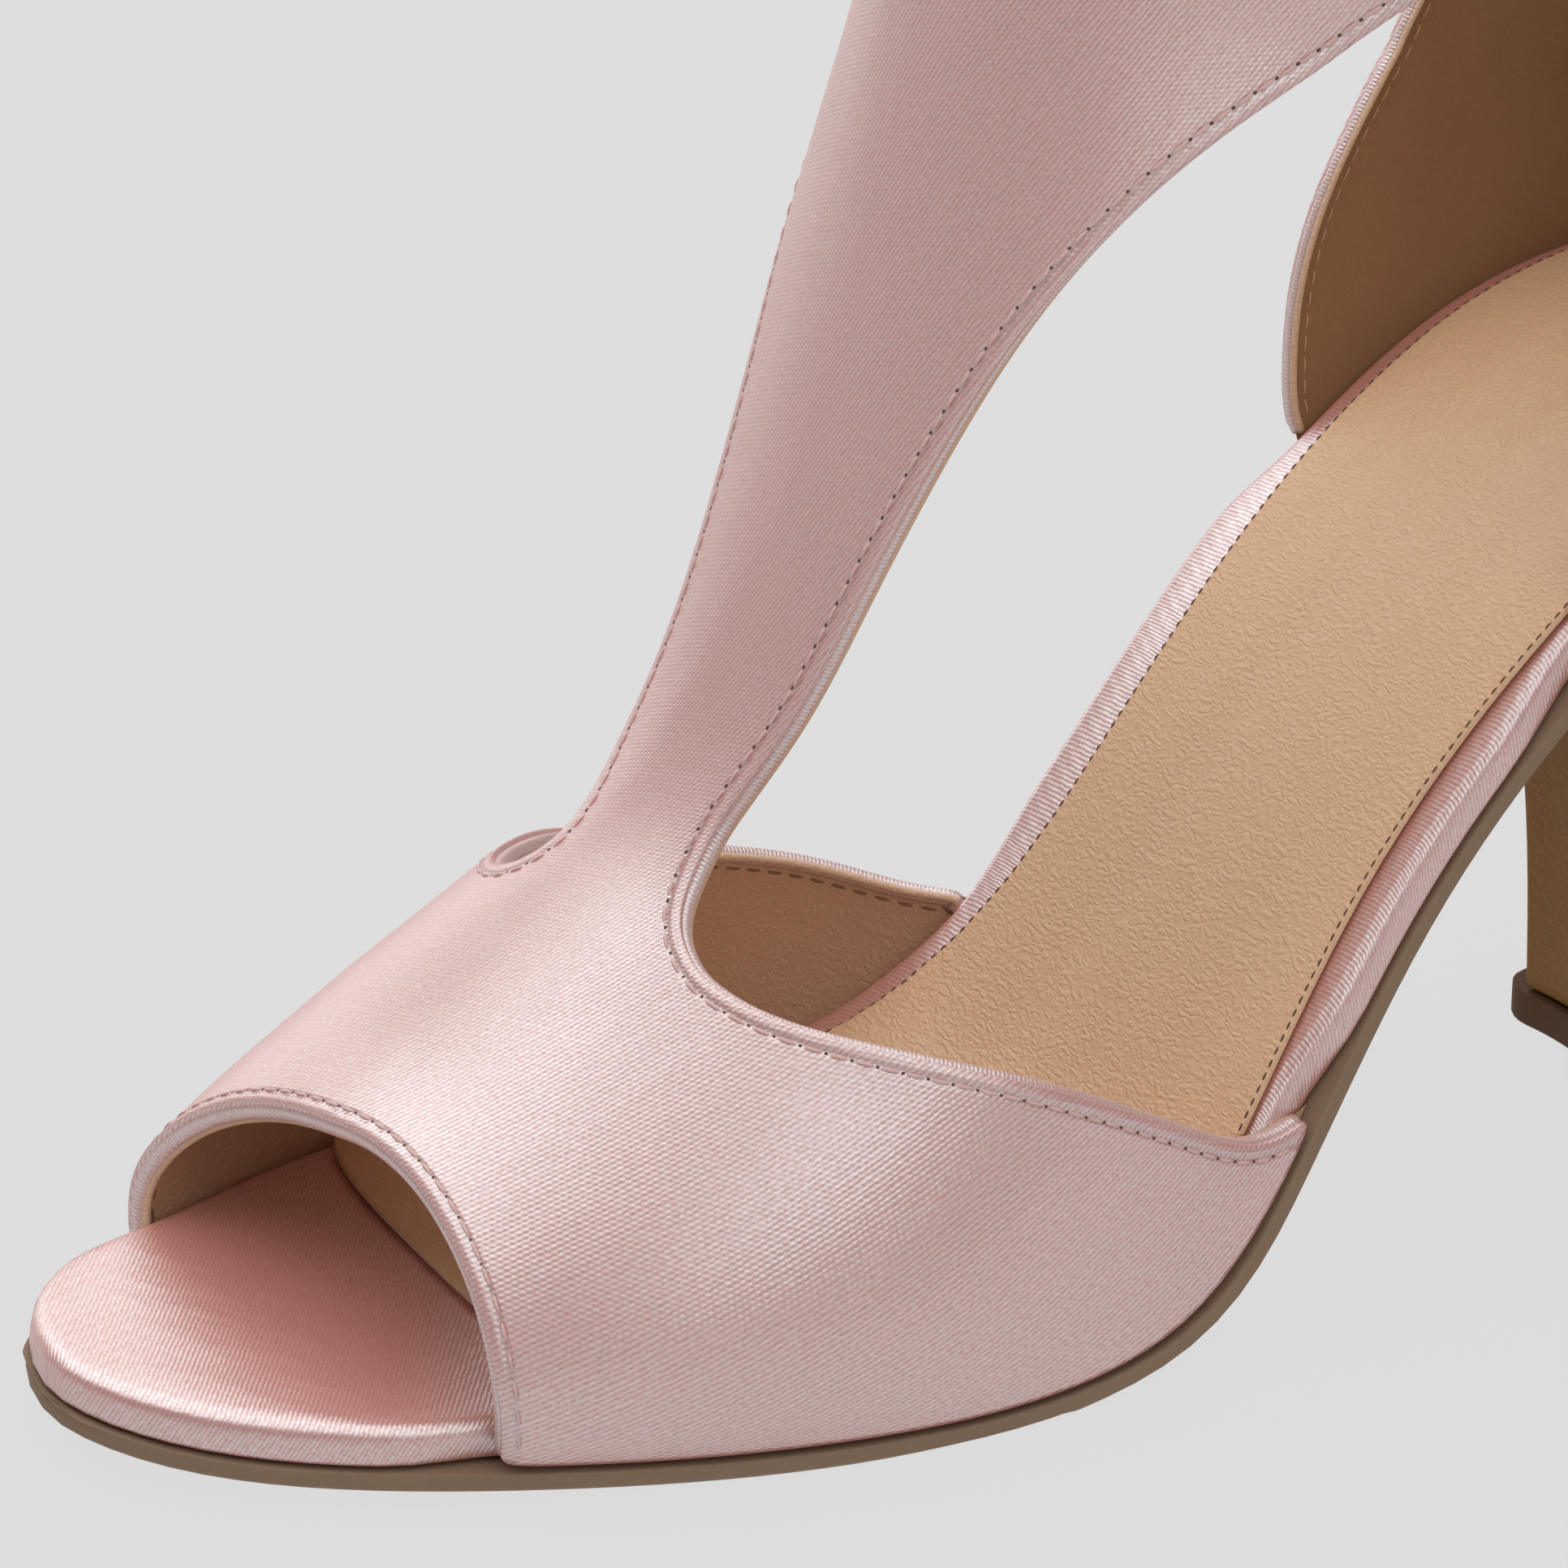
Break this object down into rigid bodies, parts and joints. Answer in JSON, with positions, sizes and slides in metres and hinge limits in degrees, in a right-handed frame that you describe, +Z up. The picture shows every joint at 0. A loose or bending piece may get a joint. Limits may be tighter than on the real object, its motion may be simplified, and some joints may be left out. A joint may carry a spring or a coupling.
{
  "type": "heeled sandal",
  "caption": "Left T-strap peep-toe sandal: hollow satin upper with side windows and a plain ankle collar, thin sole with an arch, slim block heel.",
  "frame": {"origin": "on the floor at the middle of the heel's flat tread", "axes": "+Z up from the floor, -Y towards the toe, +X towards the wearer's left, which is the outer side of this left shoe"},
  "size_m": [0.078, 0.2172, 0.1494],
  "materials": {
    "rose_satin": "dusty pink satin",
    "tan_sock_leather": "tan grained leatherette",
    "taupe_outsole": "matte taupe",
    "brown_breast_leather": "smooth brown",
    "dark_top_lift": "matte dark brown"
  },
  "bodies": {
    "root": {"upper": "rose_satin", "insole_board": "rose_satin", "insole_sock": "tan_sock_leather", "outsole": "taupe_outsole", "heel_block": "rose_satin", "heel_breast_cover": "brown_breast_leather", "top_lift": "dark_top_lift"}
  },
  "joints": []
}
